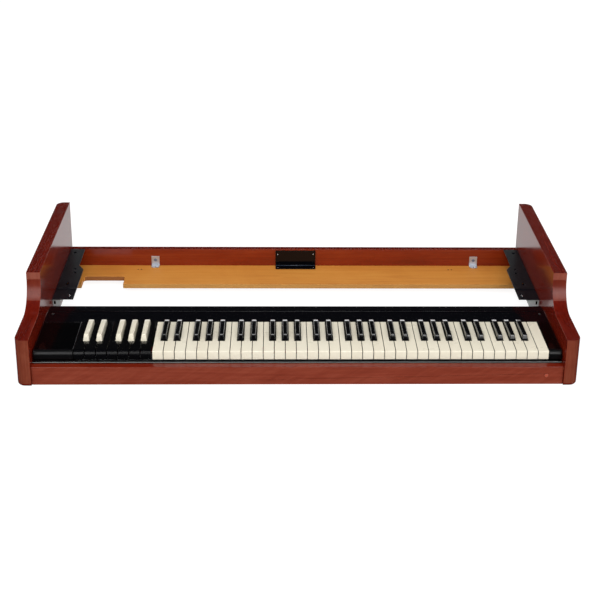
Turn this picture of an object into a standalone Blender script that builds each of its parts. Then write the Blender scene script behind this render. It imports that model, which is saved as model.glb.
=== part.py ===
"""Lower keyboard unit of an electronic organ: a wooden case with end panels, a 61-note manual with
twelve reverse-colour preset keys at its left, and steel brackets that carry an upper unit.

Metres, +Z up, front towards -Y, origin at the middle of the footprint."""

import math

import bmesh
import bpy
from mathutils import Matrix, Vector

# Clearances
GAP = 0.0003                 # between pieces that touch
KEY_GAP = 0.0013             # between neighbouring naturals
SHARP_CLEARANCE = 0.0008     # round a sharp, in the slot between naturals
LIP_CLEARANCE = 0.0051       # from the front rail to the key fronts
STRIP_CLEARANCE = 0.0008     # from the key lip to the trim strip behind it
DIP_CLEARANCE = 0.0016       # under a key at the bottom of its travel

# Case
CASE_DEPTH = 0.618
CASE_HEIGHT = 0.1855
PANEL_THICK = 0.0305
ARM_HEIGHT = 0.108           # top of the low front part of the end panels
ARM_DEPTH = 0.178            # from the panels' front to their tall part
COVE_RADIUS = 0.061          # hollow curve between the two
EDGE_ROUND = 0.002
FOOT_ROUND = 0.006
END_ROUND = 0.018            # upright outer corners, front and rear
BOARD_THICK = 0.015
BOARD_TOP = 0.0236           # upper face of the keybed board

# Front rail
RAIL_INSET = 0.0082          # behind the end panels' fronts
RAIL_LIP_THICK = 0.0118      # above the rebate that the key fronts dip into
RAIL_HEIGHT = 0.0412
RAIL_SLOPE = math.radians(16)
LENS_RADIUS = 0.004
LENS_PROUD = 0.0008
LENS_DEEP = 0.004
LENS_FROM_END = 0.0361
LENS_HEIGHT = 0.0204

# Keys
KEY_PITCH = 0.0235
KEY_LENGTH = 0.144           # the part that shows
KEY_DIP = 0.0094             # travel at the key fronts
KEY_THICK = 0.0125
NATURAL_TOP = 0.0702
NATURAL_FRONT = 0.0192       # height of the front face
NATURAL_NOSE = 0.0025
LIP_THICK = 0.002
SHARP_SETBACK = 0.0502       # from the naturals' fronts to the sharps' fronts
SHARP_HEIGHT = 0.0118
SHARP_FALL = 0.0012          # lower at the rear than at the front
SHARP_BASE = 0.0137
SHARP_CREST = 0.0098
SHARP_RAKE = 0.0058
SHARP_TAIL_ROUND = 0.009
SHARP_OFFSETS = {"c_sharp": -0.0022, "d_sharp": 0.0022, "f_sharp": -0.0036, "g_sharp": 0.0,
                 "a_sharp": 0.0036}
LEVER_HEIGHT = 0.014
LEVER_CLEARANCE = 0.0044     # under the fascia
LEVER_BEND = 0.023           # where the lever starts to thicken, ahead of the cap's rear end
LEVER_RUN = 0.079            # from the cap's rear end to the pivot
LEVER_TAIL = 0.008           # behind the pivot
PIVOT_RISE = 0.004           # pivot above the lever's underside
COMB_WEB = 0.004
COMB_BAR_DEPTH = 0.010
COMB_BAR_HEIGHT = 0.0048
COMB_BAR_AHEAD = 0.010       # ahead of the pivot
COMB_BAR_CLEARANCE = 0.0012

PRESET_GAP = 0.002           # between the preset keys and the manual
PRESET_NATURALS = 7
MANUAL_NATURALS = 36
COMB_NATURALS = 21           # the manual's three lower octaves

# Key blocks and trim
LEFT_BLOCK = 0.0843
RIGHT_BLOCK = 0.0280
BLOCK_SIDE_GAP = 0.0024
BLOCK_REAR = 0.060           # under the fascia
BLOCK_LIP = 0.016            # front overhang
TRIM_THICK = 0.0012
TRIM_FOOT = 0.010

# Rear fascia, a folded steel cover over the key levers
SHEET = 0.0016
FASCIA_GAP = 0.003
FASCIA_DROP = 0.005          # below the naturals' tops
FASCIA_FLAT = 0.062
FASCIA_DEPTH = 0.098
FASCIA_FALL = 0.0027
FASCIA_FLANGE = 0.011
FASCIA_LIP = 0.004
FASCIA_SIDE_GAP = 0.003

# Key chassis and what it carries
CHASSIS_FRONT = 0.016        # behind the key fronts
FELT_FROM_FRONT = 0.038
FELT_WIDTH = 0.026
FELT_THICK = 0.0035
FELT_CLEARANCE = 0.0005
FELT_MARGIN = 0.003
CONTACT_FROM_FRONT = 0.088
CONTACT_WIDTH = 0.054
CONTACT_HEIGHT = 0.008
CONTACT_THICK = 0.0016
CONTACT_MARGIN = 0.003
RIDGE_TOP = 0.006
RIDGE_FLARE = 0.004

# Brackets for the upper unit
BRACKET_TOP = 0.0697
BRACKET_STEEL = 0.0025
BRACKET_FRONT = 0.2925       # from the case front
BRACKET_WIDE = 0.0488
BRACKET_NARROW = 0.0355
BRACKET_STEP = (0.57, 0.652)  # where it narrows, as shares of its length
BRACKET_FLANGE = 0.022
BRACKET_TONGUE = 0.057
BRACKET_JOGGLE = 0.001
BRACKET_HOLES = ((0.0141, 0.918, 0.0042), (0.0284, 0.575, 0.0030), (0.0305, 0.502, 0.0034))
BRACKET_SLOT = (0.0226, 0.286, 0.0028, 0.010)
LEG_STEEL = 0.002
LEG_BEHIND = 0.007           # behind the bracket's front edge
LEG_WIDTHS = {"left": (0.019, 0.012), "right": (0.030, 0.012)}  # at the top and at the foot
LEG_HEIGHT = 0.040
LEG_FLANGE = 0.030
LEG_HOLE = (0.005, 0.009)

# Rear
REAR_INSET = 0.008           # behind the end panels' rear edges
REAR_THICK = 0.0156
SHELF_DEPTH = 0.118
SHELF_TOP = 0.025
SHELF_THICK = 0.0115
NOTCH_LEFT = 0.0395          # from the left end panel
NOTCH_WIDTH = 0.1015
NOTCH_DEPTH = 0.046
NOTCH_ROUND = 0.009
SHELF_HOLE_FROM_END = 0.1734
SHELF_HOLE_PITCH = 0.008
SHELF_HOLE_RADIUS = 0.0018
SHELF_HOLE_SETBACK = 0.0265
ANGLE_WIDTH = 0.101
ANGLE_HEIGHT = 0.041
ANGLE_FOOT = 0.0255
ANGLE_STEEL = 0.002
ANGLE_RIB = 0.003
CLIP_WIDTH = 0.020
CLIP_HEIGHT = 0.025
CLIP_FOOT = 0.018
CLIP_STEEL = 0.002
CLIP_HOLE = 0.0022
LEFT_CLIP_FROM_END = 0.2109
RIGHT_CLIP_FROM_END = 0.1114

# Places that follow from the sizes
FRONT_Y = -CASE_DEPTH / 2
KEYS_WIDTH = (PRESET_NATURALS + MANUAL_NATURALS) * KEY_PITCH + PRESET_GAP
INNER_WIDTH = 2 * BLOCK_SIDE_GAP + LEFT_BLOCK + RIGHT_BLOCK + KEYS_WIDTH
CASE_WIDTH = INNER_WIDTH + 2 * PANEL_THICK
INNER_X = INNER_WIDTH / 2
KEYS_LEFT = -INNER_X + BLOCK_SIDE_GAP + LEFT_BLOCK
MANUAL_LEFT = KEYS_LEFT + PRESET_NATURALS * KEY_PITCH + PRESET_GAP
KEYS_RIGHT = KEYS_LEFT + KEYS_WIDTH
RAIL_Y = FRONT_Y + RAIL_INSET
KEY_FRONT_Y = RAIL_Y + RAIL_LIP_THICK + LIP_CLEARANCE
KEY_REAR_Y = KEY_FRONT_Y + KEY_LENGTH
STRIP_Y = KEY_FRONT_Y + LIP_THICK + STRIP_CLEARANCE
RAIL_REAR_Y = STRIP_Y - GAP
SHARP_FRONT_Y = KEY_FRONT_Y + SHARP_SETBACK
FASCIA_Y = KEY_REAR_Y + FASCIA_GAP
FASCIA_TOP = NATURAL_TOP - FASCIA_DROP
FASCIA_REAR_Y = FASCIA_Y + FASCIA_DEPTH
KEY_UNDERSIDE = NATURAL_TOP - KEY_THICK
LIP_BOTTOM = NATURAL_TOP - NATURAL_FRONT
LEVER_TOP = FASCIA_TOP - SHEET - LEVER_CLEARANCE
LEVER_BOTTOM = LEVER_TOP - LEVER_HEIGHT
PIVOT_Y = KEY_REAR_Y + LEVER_RUN
PIVOT_Z = LEVER_BOTTOM + PIVOT_RISE
LEVER_END_Y = PIVOT_Y + LEVER_TAIL
DIP_SINE = KEY_DIP / (PIVOT_Y - KEY_FRONT_Y)
REAR_Y = FRONT_Y + CASE_DEPTH
REAR_INNER_Y = REAR_Y - REAR_INSET - REAR_THICK
BRACKET_RUN = REAR_INNER_Y - GAP - FRONT_Y - BRACKET_FRONT
SHELF_FRONT_Y = REAR_INNER_Y - GAP - SHELF_DEPTH
BAR_TOP = LEVER_BOTTOM - COMB_BAR_CLEARANCE
BAR_REAR_Y = PIVOT_Y - COMB_BAR_AHEAD

NATURALS = ("c", "d", "e", "f", "g", "a", "b")
SHARP_AFTER = {"c": "c_sharp", "d": "d_sharp", "f": "f_sharp", "g": "g_sharp", "a": "a_sharp"}

# Turns that lay a flat outline, drawn in local XY, square to each world axis
OUTLINE_TURNS = {
    "X": Matrix(((0, 0, 1), (1, 0, 0), (0, 1, 0))).to_4x4(),
    "Y": Matrix(((1, 0, 0), (0, 0, -1), (0, 1, 0))).to_4x4(),
    "Z": Matrix.Identity(4),
}


def clear_scene():
    for obj in list(bpy.data.objects):
        bpy.data.objects.remove(obj, do_unlink=True)


def new_collection(name):
    collection = bpy.data.collections.new(name)
    bpy.context.scene.collection.children.link(collection)
    return collection


def material(name, colour, roughness, metallic=0.0):
    made = bpy.data.materials.new(name)
    made.use_nodes = True
    shader = made.node_tree.nodes["Principled BSDF"]
    shader.inputs["Base Color"].default_value = (*colour, 1.0)
    shader.inputs["Roughness"].default_value = roughness
    shader.inputs["Metallic"].default_value = metallic
    made.diffuse_color = (*colour, 1.0)
    return made


def arc(centre, radius, start, end, steps):
    """Points along an arc, by angles in degrees."""
    angles = (math.radians(start + (end - start) * i / steps) for i in range(steps + 1))
    return [(centre[0] + radius * math.cos(a), centre[1] + radius * math.sin(a)) for a in angles]


def rectangle(low, high):
    return [(low[0], low[1]), (high[0], low[1]), (high[0], high[1]), (low[0], high[1])]


def add_object(name, mesh, finish, collection):
    obj = bpy.data.objects.new(name, mesh)
    collection.objects.link(obj)
    if finish:
        mesh.materials.append(finish)
    return obj


def clean_mesh(mesh):
    """Welds the loose caps of a filled curve and leaves one face on each flat side."""
    bm = bmesh.new()
    bm.from_mesh(mesh)
    bmesh.ops.remove_doubles(bm, verts=bm.verts, dist=1e-5)
    bmesh.ops.dissolve_degenerate(bm, edges=bm.edges, dist=1e-6)
    bmesh.ops.dissolve_limit(bm, angle_limit=math.radians(0.1), verts=bm.verts, edges=bm.edges)
    bmesh.ops.recalc_face_normals(bm, faces=bm.faces)
    bm.to_mesh(mesh)
    bm.free()


def plate(name, outline, axis, low, high, finish=None, holes=(), collection=None):
    """A flat outline with holes, given thickness from low to high along a world axis."""
    curve = bpy.data.curves.new(name, "CURVE")
    curve.dimensions = "2D"
    curve.fill_mode = "BOTH"
    curve.extrude = (high - low) / 2
    for points in (outline, *holes):
        spline = curve.splines.new("POLY")
        spline.points.add(len(points) - 1)
        for point, (u, v) in zip(spline.points, points):
            point.co = (u, v, 0, 1)
        spline.use_cyclic_u = True
    sketch = bpy.data.objects.new(name + "_outline", curve)
    bpy.context.scene.collection.objects.link(sketch)
    graph = bpy.context.evaluated_depsgraph_get()
    mesh = bpy.data.meshes.new_from_object(sketch.evaluated_get(graph))
    bpy.data.objects.remove(sketch, do_unlink=True)
    middle = Vector((0, 0, (low + high) / 2))
    if axis == "Y":
        middle.negate()
    mesh.transform(OUTLINE_TURNS[axis] @ Matrix.Translation(middle))
    mesh.name = name
    clean_mesh(mesh)
    return add_object(name, mesh, finish, collection or parts)


def box(name, low, high, finish=None, collection=None):
    bm = bmesh.new()
    bmesh.ops.create_cube(bm, size=1)
    size = [b - a for a, b in zip(low, high)]
    centre = [(a + b) / 2 for a, b in zip(low, high)]
    bmesh.ops.scale(bm, vec=size, verts=bm.verts)
    bmesh.ops.translate(bm, vec=centre, verts=bm.verts)
    mesh = bpy.data.meshes.new(name)
    bm.to_mesh(mesh)
    bm.free()
    return add_object(name, mesh, finish, collection or parts)


def folded_sheet(name, path, thick, low, high, finish):
    """A steel sheet folded along X, from a path of (y, z) points on its upper face."""
    bm = bmesh.new()
    row = [bm.verts.new((low, y, z)) for y, z in path]
    edges = [bm.edges.new(pair) for pair in zip(row, row[1:])]
    swept = bmesh.ops.extrude_edge_only(bm, edges=edges)["geom"]
    moved = [v for v in swept if isinstance(v, bmesh.types.BMVert)]
    bmesh.ops.translate(bm, vec=(high - low, 0, 0), verts=moved)
    bmesh.ops.recalc_face_normals(bm, faces=bm.faces)
    bm.normal_update()
    widest = max(bm.faces, key=lambda f: f.calc_area() * abs(f.normal.z))
    if widest.normal.z < 0:
        bmesh.ops.reverse_faces(bm, faces=bm.faces)
    mesh = bpy.data.meshes.new(name)
    bm.to_mesh(mesh)
    bm.free()
    obj = add_object(name, mesh, finish, parts)
    shell = obj.modifiers.new("Thickness", "SOLIDIFY")
    shell.thickness = thick
    shell.offset = -1
    shell.use_even_offset = True
    return obj


def cut(obj, cutter):
    step = obj.modifiers.new("Cut " + cutter.name, "BOOLEAN")
    step.operation = "DIFFERENCE"
    step.object = cutter


def join(obj, other):
    step = obj.modifiers.new("Join " + other.name, "BOOLEAN")
    step.operation = "UNION"
    step.object = other
    guide(other)


def guide(obj):
    """Keeps a cutter or a joined shape out of the model."""
    obj.hide_render = True
    obj.display_type = "WIRE"


def soften(obj, width, segments=2):
    edge = obj.modifiers.new("Edges", "BEVEL")
    edge.width = width
    edge.segments = segments
    edge.limit_method = "ANGLE"
    edge.angle_limit = math.radians(40)


def hang_on_pivot(obj):
    """Puts the object's origin on the key pivot's axis."""
    pivot = Vector((0, PIVOT_Y, PIVOT_Z))
    obj.data.transform(Matrix.Translation(-pivot))
    obj.location = pivot


def panel_outline():
    radius = min(COVE_RADIUS, CASE_HEIGHT - ARM_HEIGHT - EDGE_ROUND, ARM_DEPTH - EDGE_ROUND)
    riser = FRONT_Y + ARM_DEPTH
    cove = arc((riser - radius, ARM_HEIGHT + radius), radius, 0, -90, 12)
    return [(FRONT_Y, 0), (REAR_Y, 0), (REAR_Y, CASE_HEIGHT), (riser, CASE_HEIGHT), *cove,
            (FRONT_Y, ARM_HEIGHT)]


def round_panel_edges(obj, outer_x):
    """Rounds the upright outer corners, then the lower edges, then each arris that is left."""
    def upright_end(a, b):
        at_end = min(a.y, b.y) > REAR_Y - GAP or max(a.y, b.y) < FRONT_Y + GAP
        return at_end and max(abs(a.x - outer_x), abs(b.x - outer_x)) < GAP

    def foot(a, b):
        return max(a.z, b.z) < GAP

    def above_foot(a, b):
        return max(a.z, b.z) > FOOT_ROUND + GAP

    bm = bmesh.new()
    bm.from_mesh(obj.data)
    for width, segments, chosen in ((END_ROUND, 6, upright_end), (FOOT_ROUND, 3, foot),
                                    (EDGE_ROUND, 2, above_foot)):
        edges = [edge for edge in bm.edges if edge.calc_face_angle(0) > math.radians(40)
                 and chosen(*(v.co for v in edge.verts))]
        bmesh.ops.bevel(bm, geom=edges, offset=width, segments=segments, profile=0.5,
                        affect="EDGES", clamp_overlap=True)
    bm.to_mesh(obj.data)
    bm.free()


def end_panel(side, sign, finish):
    inner, outer = sorted((sign * INNER_X, sign * (INNER_X + PANEL_THICK)), key=abs)
    obj = plate(side + "_end_panel", panel_outline(), "X", min(inner, outer), max(inner, outer),
                finish)
    round_panel_edges(obj, outer)
    return obj


def front_rail(finish):
    lip_rear = RAIL_Y + RAIL_LIP_THICK
    rebate = LIP_BOTTOM - KEY_DIP - 3 * DIP_CLEARANCE
    outline = [
        (RAIL_Y, 0),
        (RAIL_REAR_Y, 0),
        (RAIL_REAR_Y, rebate),
        (lip_rear, rebate),
        (lip_rear, RAIL_HEIGHT + RAIL_LIP_THICK * math.tan(RAIL_SLOPE)),
        (RAIL_Y, RAIL_HEIGHT),
    ]
    rail = plate("front_rail", outline, "X", -INNER_X + GAP, INNER_X - GAP, finish)
    pocket = arc((LENS_X, LENS_HEIGHT), LENS_RADIUS + GAP, 0, 345, 23)
    cutter = plate("lens_pocket", pocket, "Y", RAIL_Y - GAP, RAIL_Y + LENS_DEEP, collection=cutters)
    guide(cutter)
    cut(rail, cutter)
    return rail


def rail_lens(finish):
    """A small domed lens let into the front rail, turned about its own axis."""
    dome = arc((0, 0), 1, 90, 0, 5)
    profile = [(LENS_RADIUS * c, LENS_DEEP + LENS_PROUD * s) for c, s in dome]
    profile += [(LENS_RADIUS, 0), (0, 0)]
    profile[0] = (0, LENS_DEEP + LENS_PROUD)
    bm = bmesh.new()
    row = [bm.verts.new((r, 0, z)) for r, z in profile]
    for pair in zip(row, row[1:]):
        bm.edges.new(pair)
    mesh = bpy.data.meshes.new("rail_lens")
    bm.to_mesh(mesh)
    bm.free()
    obj = add_object("rail_lens", mesh, finish, parts)
    turn = obj.modifiers.new("Turn", "SCREW")
    turn.steps = turn.render_steps = 20
    turn.use_merge_vertices = True
    turn.merge_threshold = 1e-5
    obj.rotation_euler = (math.radians(90), 0, 0)
    obj.location = (LENS_X, RAIL_Y + LENS_DEEP - GAP, LENS_HEIGHT)
    return obj


def natural_profile(end_y):
    """Side view of a natural key, from its thin front lip to its lever's end."""
    nose = arc((KEY_FRONT_Y + NATURAL_NOSE, NATURAL_TOP - NATURAL_NOSE), NATURAL_NOSE, 180, 90, 4)
    return [
        *nose,
        (KEY_REAR_Y, NATURAL_TOP),
        (KEY_REAR_Y, LEVER_TOP),
        (end_y, LEVER_TOP),
        (end_y, LEVER_BOTTOM),
        (KEY_REAR_Y + LEVER_BEND, LEVER_BOTTOM),
        (KEY_REAR_Y - LEVER_BEND, KEY_UNDERSIDE),
        (KEY_FRONT_Y + LIP_THICK, KEY_UNDERSIDE),
        (KEY_FRONT_Y + LIP_THICK, LIP_BOTTOM),
        (KEY_FRONT_Y, LIP_BOTTOM),
    ]


def sharp_profile():
    """Side view of a sharp key, with a raked front and a rounded rear end."""
    crest = NATURAL_TOP + SHARP_HEIGHT
    low_crest = crest - SHARP_FALL
    tail = arc((KEY_REAR_Y - SHARP_TAIL_ROUND, low_crest - SHARP_TAIL_ROUND), SHARP_TAIL_ROUND,
               90, 0, 4)
    front_round = min(SHARP_RAKE, SHARP_HEIGHT) / 4
    return [
        (SHARP_FRONT_Y, KEY_UNDERSIDE),
        (SHARP_FRONT_Y, NATURAL_TOP),
        (SHARP_FRONT_Y + SHARP_RAKE - front_round, crest - 2 * front_round),
        (SHARP_FRONT_Y + SHARP_RAKE + front_round, crest),
        *tail,
        (KEY_REAR_Y, LEVER_TOP),
        (LEVER_END_Y, LEVER_TOP),
        (LEVER_END_Y, LEVER_BOTTOM),
        (KEY_REAR_Y + LEVER_BEND, LEVER_BOTTOM),
        (KEY_REAR_Y - LEVER_BEND, KEY_UNDERSIDE),
    ]


def sharp_blade(name, centre, finish, collection):
    half = SHARP_BASE / 2
    obj = plate(name, sharp_profile(), "X", centre - half, centre + half, finish,
                collection=collection)
    for vertex in obj.data.vertices:
        if vertex.co.z > NATURAL_TOP + GAP:
            rise = min(1.0, (vertex.co.z - NATURAL_TOP) / SHARP_HEIGHT)
            narrow = 1 + rise * (SHARP_CREST / SHARP_BASE - 1)
            vertex.co.x = centre + (vertex.co.x - centre) * narrow
    hang_on_pivot(obj)
    return obj


def sharp_places(left, count):
    """Centre and note of each sharp over a run of naturals that starts with C."""
    for i in range(count):
        note = SHARP_AFTER.get(NATURALS[i % 7])
        if note and i + 1 < count:
            yield left + (i + 1) * KEY_PITCH + SHARP_OFFSETS[note], note


def sharp_slots(centres):
    """One cutter for every slot that the naturals leave for a sharp."""
    bm = bmesh.new()
    half = SHARP_BASE / 2 + SHARP_CLEARANCE
    front = SHARP_FRONT_Y - SHARP_CLEARANCE
    for x in centres:
        low = Vector((x - half, front, BOARD_TOP))
        high = Vector((x + half, LEVER_END_Y + KEY_GAP, NATURAL_TOP + SHARP_HEIGHT))
        place = Matrix.LocRotScale((low + high) / 2, None, high - low)
        bmesh.ops.create_cube(bm, size=1, matrix=place)
    mesh = bpy.data.meshes.new("sharp_slots")
    bm.to_mesh(mesh)
    bm.free()
    cutter = add_object("sharp_slots", mesh, None, cutters)
    guide(cutter)
    return cutter


def key_splits(left, count):
    """One cutter for the thin gaps between the comb's naturals."""
    bm = bmesh.new()
    for i in range(1, count):
        x = left + i * KEY_PITCH
        low = Vector((x - KEY_GAP / 2, KEY_FRONT_Y - KEY_GAP, BOARD_TOP))
        high = Vector((x + KEY_GAP / 2, LEVER_END_Y + KEY_GAP, NATURAL_TOP + SHARP_HEIGHT))
        place = Matrix.LocRotScale((low + high) / 2, None, high - low)
        bmesh.ops.create_cube(bm, size=1, matrix=place)
    mesh = bpy.data.meshes.new("key_splits")
    bm.to_mesh(mesh)
    bm.free()
    cutter = add_object("key_splits", mesh, None, cutters)
    guide(cutter)
    return cutter


def natural_key(name, left, slots, finish):
    obj = plate(name, natural_profile(LEVER_END_Y), "X", left + KEY_GAP / 2,
                left + KEY_PITCH - KEY_GAP / 2, finish)
    cut(obj, slots)
    hang_on_pivot(obj)


def preset_keys(slots, natural_finish, sharp_finish):
    """Twelve keys in reverse colours, one for each preset."""
    for i in range(PRESET_NATURALS):
        natural_key(f"preset_key_{NATURALS[i % 7]}", KEYS_LEFT + i * KEY_PITCH, slots,
                    natural_finish)
    for centre, note in sharp_places(KEYS_LEFT, PRESET_NATURALS):
        sharp_blade(f"preset_key_{note}", centre, sharp_finish, parts)


def upper_keys(slots, natural_finish, sharp_finish):
    """The manual's upper keys, each on its own pivot."""
    left = MANUAL_LEFT + COMB_NATURALS * KEY_PITCH
    count = MANUAL_NATURALS - COMB_NATURALS
    for i in range(count):
        octave = 4 + i // 7
        natural_key(f"key_{NATURALS[i % 7]}{octave}", left + i * KEY_PITCH, slots, natural_finish)
    for centre, note in sharp_places(left, count):
        octave = 4 + int((centre - left) / (7 * KEY_PITCH))
        sharp_blade(f"key_{note}{octave}", centre, sharp_finish, parts)


def lower_naturals(slots, finish):
    """The lower octaves' naturals, joined by a web behind their levers."""
    right = MANUAL_LEFT + COMB_NATURALS * KEY_PITCH
    end = LEVER_END_Y + KEY_GAP + COMB_WEB
    obj = plate("lower_naturals", natural_profile(end), "X", MANUAL_LEFT + KEY_GAP / 2,
                right - KEY_GAP / 2, finish)
    cut(obj, slots)
    cut(obj, key_splits(MANUAL_LEFT, COMB_NATURALS))
    hang_on_pivot(obj)


def lower_sharps(finish):
    """The lower octaves' sharps, joined by a toothed bar under their levers."""
    places = [x for x, _ in sharp_places(MANUAL_LEFT, COMB_NATURALS)]
    tooth = 3 * SHARP_BASE / 8
    root = LEVER_BOTTOM + SHARP_BASE / 8
    low = BAR_TOP - COMB_BAR_HEIGHT
    outline = [(places[-1] + tooth, low), (places[0] - tooth, low)]
    for x, following in zip(places, places[1:]):
        outline += [(x - tooth, root), (x + tooth, root)]
        outline += [(x + tooth, BAR_TOP), (following - tooth, BAR_TOP)]
    outline += [(places[-1] - tooth, root), (places[-1] + tooth, root)]
    bar = plate("lower_sharps", outline, "Y", BAR_REAR_Y - COMB_BAR_DEPTH, BAR_REAR_Y, finish)
    hang_on_pivot(bar)
    for i, x in enumerate(places):
        join(bar, sharp_blade(f"sharp_blade_{i:02d}", x, None, cutters))


def key_trim_strip(finish):
    low = BOARD_TOP + GAP
    top = KEY_UNDERSIDE - KEY_DIP - DIP_CLEARANCE
    rear = STRIP_Y + TRIM_THICK
    outline = [
        (STRIP_Y, low),
        (rear + TRIM_FOOT, low),
        (rear + TRIM_FOOT, low + TRIM_THICK),
        (rear, low + TRIM_THICK),
        (rear, top),
        (STRIP_Y, top),
    ]
    plate("key_trim_strip", outline, "X", -INNER_X + GAP, INNER_X - GAP, finish)


def keybed_board(finish):
    box("keybed_board", (-INNER_X + GAP, RAIL_REAR_Y + GAP, BOARD_TOP - BOARD_THICK),
        (INNER_X - GAP, FASCIA_REAR_Y, BOARD_TOP), finish)


def key_block(side, low_x, high_x, finish):
    """A cheek block beside the keys. Its lower rear part carries the fascia."""
    core_y = KEY_FRONT_Y + BLOCK_LIP
    rest = FASCIA_TOP - SHEET - GAP
    rear = FASCIA_Y + BLOCK_REAR
    lip_rear = FASCIA_Y + SHEET + KEY_GAP
    lip_low = FASCIA_TOP - FASCIA_LIP - KEY_GAP
    outline = [
        (KEY_FRONT_Y, LIP_BOTTOM),
        (core_y, LIP_BOTTOM),
        (core_y, BOARD_TOP + GAP),
        (rear, BOARD_TOP + GAP),
        (rear, rest),
        (lip_rear, rest),
        (lip_rear, lip_low),
        (KEY_REAR_Y, lip_low),
        (KEY_REAR_Y, NATURAL_TOP),
        (KEY_FRONT_Y, NATURAL_TOP),
    ]
    obj = plate(side + "_key_block", outline, "X", low_x, high_x, finish)
    soften(obj, EDGE_ROUND / 2)


def rear_fascia(finish):
    rear = FASCIA_REAR_Y - SHEET
    path = [
        (FASCIA_Y, FASCIA_TOP - FASCIA_LIP),
        (FASCIA_Y, FASCIA_TOP),
        (FASCIA_Y + FASCIA_FLAT, FASCIA_TOP),
        (rear, FASCIA_TOP - FASCIA_FALL),
        (rear + SHEET, FASCIA_TOP - FASCIA_FALL - FASCIA_FLANGE),
    ]
    width = INNER_X - FASCIA_SIDE_GAP
    return path, folded_sheet("rear_fascia", path, SHEET, -width, width, finish)


def key_chassis(finish):
    """A folded steel sheet: a rib for the felt, a platform for the contacts, a ridge for the pivots."""
    base = BOARD_TOP + GAP + SHEET
    rib_front = KEY_FRONT_Y + FELT_FROM_FRONT - FELT_MARGIN
    rib_rear = rib_front + FELT_WIDTH + 2 * FELT_MARGIN
    board_front = KEY_FRONT_Y + CONTACT_FROM_FRONT - CONTACT_MARGIN
    board_rear = board_front + CONTACT_WIDTH + 2 * CONTACT_MARGIN
    rib_top = FELT_TOP - FELT_THICK - GAP
    board_top = base + CONTACT_HEIGHT
    ridge = LEVER_BOTTOM - GAP
    path = [
        (KEY_FRONT_Y + CHASSIS_FRONT, base),
        (rib_front, base),
        (rib_front, rib_top),
        (rib_rear, rib_top),
        (rib_rear, base),
        (board_front, base),
        (board_front, board_top),
        (board_rear, board_top),
        (board_rear, base),
        (PIVOT_Y - RIDGE_TOP / 2 - RIDGE_FLARE, base),
        (PIVOT_Y - RIDGE_TOP / 2, ridge),
        (PIVOT_Y + RIDGE_TOP / 2, ridge),
        (PIVOT_Y + RIDGE_TOP / 2 + RIDGE_FLARE, base),
    ]
    folded_sheet("key_chassis", path, SHEET, KEYS_LEFT + KEY_GAP, KEYS_RIGHT - KEY_GAP, finish)


def downstop_felt(finish):
    front = KEY_FRONT_Y + FELT_FROM_FRONT
    box("downstop_felt", (KEYS_LEFT + KEY_GAP, front, FELT_TOP - FELT_THICK),
        (KEYS_RIGHT - KEY_GAP, front + FELT_WIDTH, FELT_TOP), finish)


def contact_board(finish):
    front = KEY_FRONT_Y + CONTACT_FROM_FRONT
    low = BOARD_TOP + 2 * GAP + SHEET + CONTACT_HEIGHT
    box("contact_board", (KEYS_LEFT + KEY_GAP, front, low),
        (KEYS_RIGHT - KEY_GAP, front + CONTACT_WIDTH, low + CONTACT_THICK), finish)


def bracket_outline(sign):
    """Plan of a bracket plate, wide at the front and narrower behind its step."""
    front = FRONT_Y + BRACKET_FRONT
    step_start, step_end = (front + share * BRACKET_RUN for share in BRACKET_STEP)
    points = [
        (INNER_X - GAP, front),
        (INNER_X - GAP, front + BRACKET_RUN),
        (INNER_X - BRACKET_NARROW, front + BRACKET_RUN),
        (INNER_X - BRACKET_NARROW, step_end),
        (INNER_X - BRACKET_WIDE, step_start),
        (INNER_X - BRACKET_WIDE, front),
    ]
    return [(sign * x, y) for x, y in points]


def bracket_holes(sign):
    front = FRONT_Y + BRACKET_FRONT
    holes = []
    for inset, share, radius in BRACKET_HOLES:
        centre = (sign * (INNER_X - inset), front + share * BRACKET_RUN)
        holes.append(arc(centre, radius, 0, 330, 11))
    inset, share, radius, length = BRACKET_SLOT
    x, y = INNER_X - inset, front + share * BRACKET_RUN
    slot = arc((x, y + length / 2), radius, 0, 180, 6) + arc((x, y - length / 2), radius, 180, 360, 6)
    holes.append([(sign * u, v) for u, v in slot])
    return holes


def bracket(side, sign, finish):
    """Steel angle on the end panel that the upper unit rests on."""
    front = FRONT_Y + BRACKET_FRONT
    low = BRACKET_TOP - BRACKET_STEEL
    obj = plate(side + "_bracket", bracket_outline(sign), "Z", low, BRACKET_TOP, finish,
                bracket_holes(sign))
    joggle = box(side + "_bracket_joggle",
                 (-BRACKET_WIDE, front - GAP, BRACKET_TOP - BRACKET_JOGGLE),
                 (BRACKET_WIDE, front + BRACKET_TONGUE, BRACKET_TOP + BRACKET_JOGGLE),
                 collection=cutters)
    joggle.location.x = sign * INNER_X
    guide(joggle)
    flange_x = sorted((sign * (INNER_X - GAP), sign * (INNER_X - GAP - BRACKET_STEEL)))
    flange = box(side + "_bracket_flange",
                 (flange_x[0], front + LEG_BEHIND + LEG_FLANGE + KEY_GAP, low - BRACKET_FLANGE),
                 (flange_x[1], REAR_INNER_Y - GAP, low + BRACKET_STEEL / 2), collection=cutters)
    join(obj, flange)
    cut(obj, joggle)
    return obj


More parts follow.
